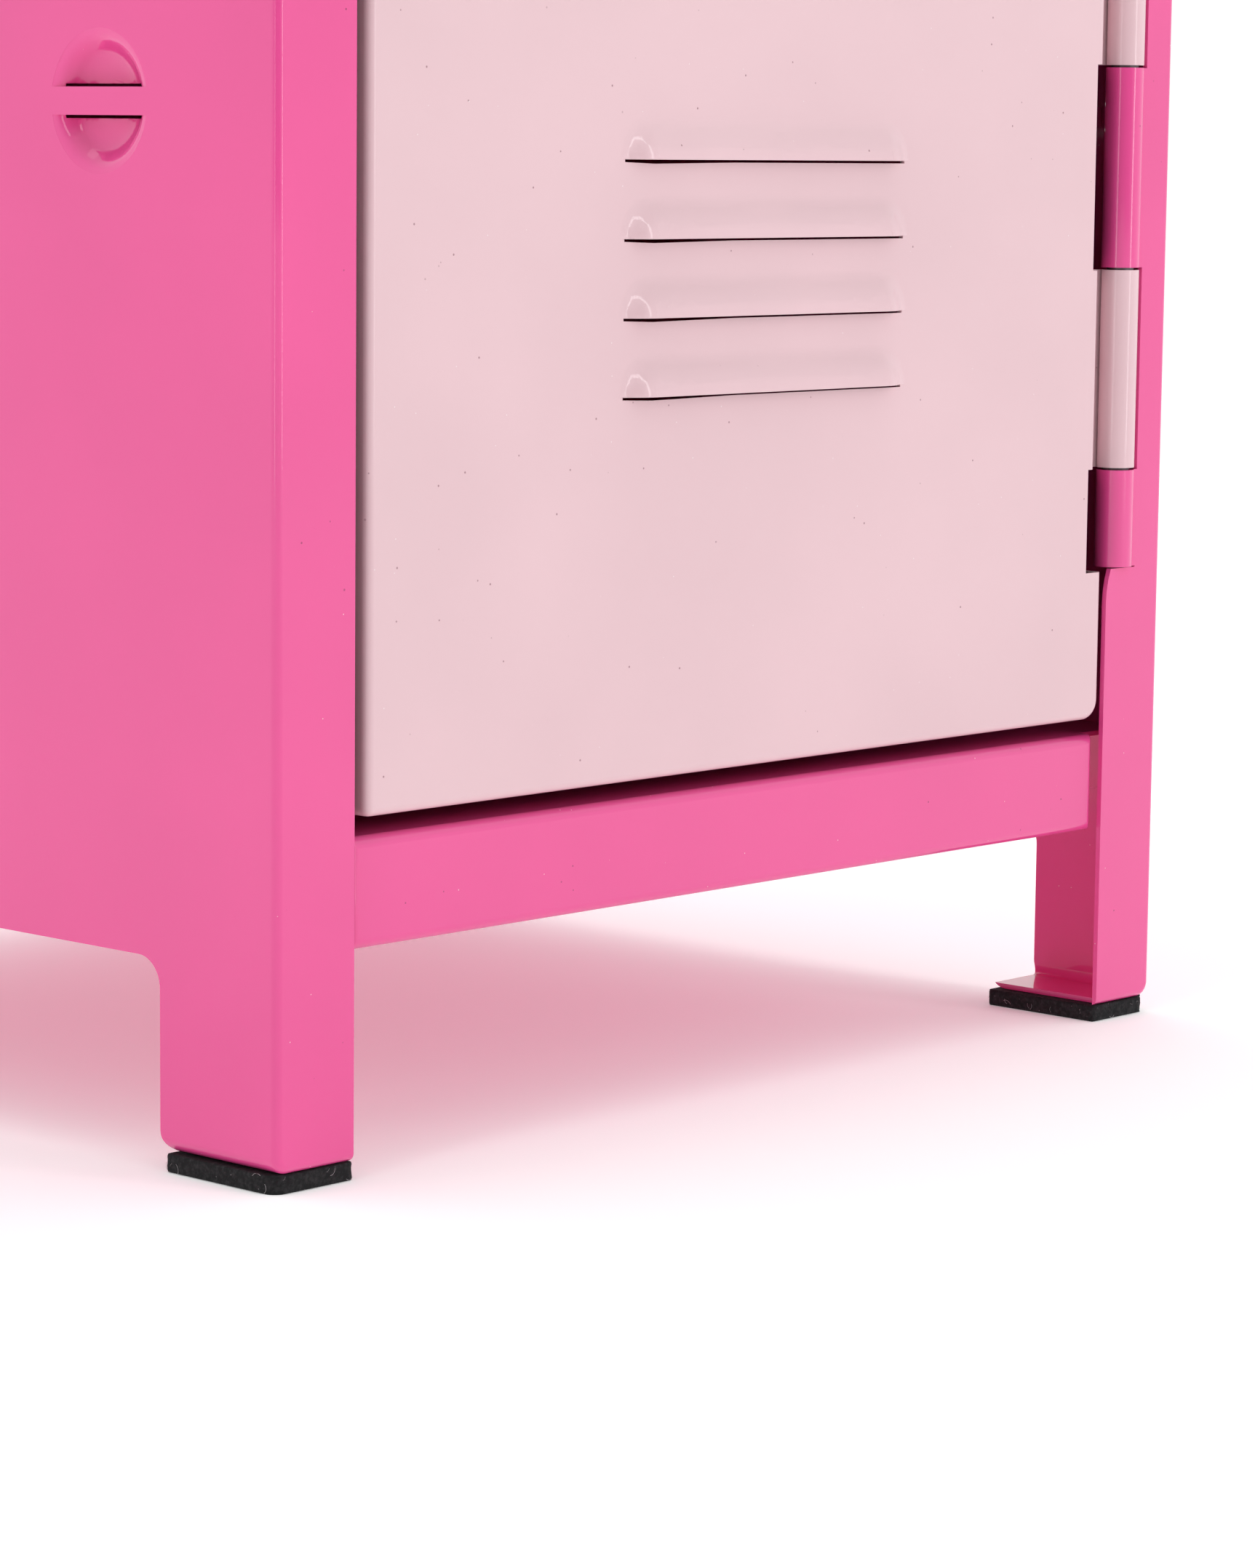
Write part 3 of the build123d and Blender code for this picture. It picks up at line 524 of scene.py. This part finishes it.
def foam_mesh(name, low, high):
    """A pad of rough foam inside a box: ragged sides, flat top and bottom."""
    size = high - low
    counts = [max(2, round(extent / FOAM_CELL)) for extent in size]
    form = bmesh.new()
    bmesh.ops.create_cube(form, size=1.0)
    for axis, count in enumerate(counts):
        along = [e for e in form.edges if abs((e.verts[0].co - e.verts[1].co)[axis]) > 1e-6]
        bmesh.ops.subdivide_edges(form, edges=along, cuts=count - 1, use_grid_fill=True)
    middle = (low + high) / 2
    half = size / 2 - Vector((FOAM_INSET, FOAM_INSET, 0.0))
    for vertex in form.verts:
        spot = Vector([vertex.co[axis] * 2 * half[axis] for axis in range(3)])
        # rub the upright corners round, the one at the cabinet's own corner most
        outermost = spot.x * middle.x > 0 and spot.y * middle.y > 0
        corner = FOAM_WORN if outermost else FOAM_ROUND
        over_x, over_y = abs(spot.x) - (half.x - corner), abs(spot.y) - (half.y - corner)
        if over_x > 0 and over_y > 0:
            reach = math.hypot(over_x, over_y)
            if reach > corner:
                spot.x -= math.copysign(over_x * (1 - corner / reach), spot.x)
                spot.y -= math.copysign(over_y * (1 - corner / reach), spot.y)
        edge = max(abs(vertex.co.x), abs(vertex.co.y)) > 0.499
        rough = noise.noise((spot + middle) * 900.0) * 0.65 + noise.noise((spot + middle) * 2600.0) * 0.35
        if edge:
            bulge = 1 - (vertex.co.z * 2) ** 2
            side = Vector((spot.x / half.x, spot.y / half.y, 0)).normalized()
            spot += side * (rough * FOAM_RAGGED + 0.08 * MM * (bulge - 1))
        if abs(vertex.co.z) > 0.499:
            sunk = 0.05 * MM + 0.05 * MM * rough + (0.07 * MM if edge else 0.0)
            spot.z -= math.copysign(sunk, spot.z) if vertex.co.z > 0 or edge else 0.0
        vertex.co = spot + middle
    for face in form.faces:
        face.smooth = True
    mesh = bpy.data.meshes.new(name)
    form.to_mesh(mesh)
    form.free()
    return mesh


for seed, pad in enumerate(("left_front", "left_rear", "right_front", "right_rear")):
    low, high = (Vector(corner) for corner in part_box("foot_pad_" + pad))
    block_mesh = foam_mesh("foam_pad_" + pad, low, high)
    keep_mesh("foam_pad_" + pad, block_mesh, foam, "cabinet", ("foot_pad_" + pad,))
    # hairs grow from the pad's sides only
    form = bmesh.new()
    form.from_mesh(block_mesh)
    flat = [face for face in form.faces if abs(face.normal.z) > 0.5]
    bmesh.ops.delete(form, geom=flat, context="FACES")
    bare = bpy.data.meshes.new("pad_sides")
    form.to_mesh(bare)
    form.free()
    hairs = grown("lint_" + pad, bare, lay_lint, {
        "Density": HAIR_DENSITY,
        "Hair length": HAIR_LENGTH,
        "Hair radius": HAIR_RADIUS,
        "Seed": seed + FIRST_SEED,
        "Material": lint,
    })
    for vertex in hairs.vertices:
        for axis in range(3):
            vertex.co[axis] = min(max(vertex.co[axis], low[axis]), high[axis])
    keep_mesh("lint_" + pad, hairs, None, "cabinet", ())

# ---------------------------------------------------------------- studio
# A pale floor in a white light tent that is darker where it opens towards the camera, with a strip
# light on either side of the opening and a wide soft one overhead.
WALL_LIGHT = 1.02
OPENING_LIGHT = 0.12
FLOOR_LIGHT = 0.22
front_y = -84.5 * MM
floor_mesh = bpy.data.meshes.new("floor")
reach = 6.0
floor_mesh.from_pydata(
    [(-reach, -reach, 0), (reach, -reach, 0), (reach, reach, 0), (-reach, reach, 0)], [], [(0, 1, 2, 3)]
)
floor = bpy.data.objects.new("floor", floor_mesh)
bpy.context.collection.objects.link(floor)
floor_paint = bpy.data.materials.new("pale_floor")
tree, shader, coords = nodes_of(floor_paint)
paper = noise_node(tree, coords, 3.0)
sheet_white = mix_color(tree, paper, (0.90, 0.90, 0.90), (0.92, 0.92, 0.92))
tree.links.new(sheet_white, shader.inputs["Base Color"])
shader.inputs["Roughness"].default_value = 0.9
# The floor glows faintly. This is painted light: it lifts the shade under the cabinet and lights its
# underside from below.
shader.inputs["Emission Color"].default_value = (1.0, 1.0, 1.0, 1.0)
shader.inputs["Emission Strength"].default_value = FLOOR_LIGHT
floor_mesh.materials.append(floor_paint)

AZIMUTH = math.radians(-47.395)
ELEVATION = math.radians(7.82)
back = Vector((
    math.sin(AZIMUTH) * math.cos(ELEVATION), -math.cos(AZIMUTH) * math.cos(ELEVATION), math.sin(ELEVATION)
))
world = bpy.data.worlds.new("studio")
bpy.context.scene.world = world
world.use_nodes = True
tree = world.node_tree
wall = tree.nodes["Background"]
toward = tree.nodes.new("ShaderNodeTexCoord")
facing = tree.nodes.new("ShaderNodeVectorMath")
facing.operation = "DOT_PRODUCT"
tree.links.new(toward.outputs["Generated"], facing.inputs[0])
facing.inputs[1].default_value = (math.sin(AZIMUTH), -math.cos(AZIMUTH), 0.0)
tent_light = ramp_node(tree, facing.outputs["Value"], 0.55, 0.8, WALL_LIGHT, OPENING_LIGHT)
tree.links.new(tent_light, wall.inputs["Strength"])
wall.inputs["Color"].default_value = (1.0, 1.0, 1.0, 1.0)
bpy.context.scene.view_settings.view_transform = "Standard"


def softbox(name, place, target, width, height, power):
    """A rectangular soft light that faces a point of the cabinet."""
    lamp = bpy.data.lights.new(name, "AREA")
    lamp.shape = "RECTANGLE"
    lamp.size, lamp.size_y, lamp.energy = width, height, power
    holder = bpy.data.objects.new(name, lamp)
    bpy.context.collection.objects.link(holder)
    holder.location = place
    holder.rotation_euler = (Vector(place) - Vector(target)).to_track_quat("Z", "Y").to_euler()


middle = (0.0, 0.0, 0.17)
softbox("left_strip", (-1.17, -0.32, 0.45), middle, 0.16, 1.1, 1.5)
softbox("right_strip", (0.34, -1.3, 0.45), middle, 0.16, 1.1, 2.9)
softbox("overhead", (0.0, 0.2, 1.6), middle, 1.4, 1.4, 4.0)

# ---------------------------------------------------------------- camera
# A long lens close to the lower front corner, a little above the floor and rolled by half a degree.
ROLL = math.radians(0.628)
DISTANCE = 621.56 * MM
LENS = 108.26
aim = Vector((-26.87 * MM, front_y, 45.6 * MM))
level_right = (-back).cross(Vector((0, 0, 1))).normalized()
level_up = level_right.cross(-back)
right = math.cos(ROLL) * level_right + math.sin(ROLL) * level_up
up = -math.sin(ROLL) * level_right + math.cos(ROLL) * level_up
camera = bpy.data.objects.new("camera", bpy.data.cameras.new("camera"))
bpy.context.collection.objects.link(camera)
camera.data.lens = LENS
camera.data.sensor_width = 36.0
camera.data.clip_start = 0.01
camera.matrix_world = Matrix((right, up, back)).transposed().to_4x4()
camera.location = aim + back * DISTANCE
bpy.context.scene.camera = camera
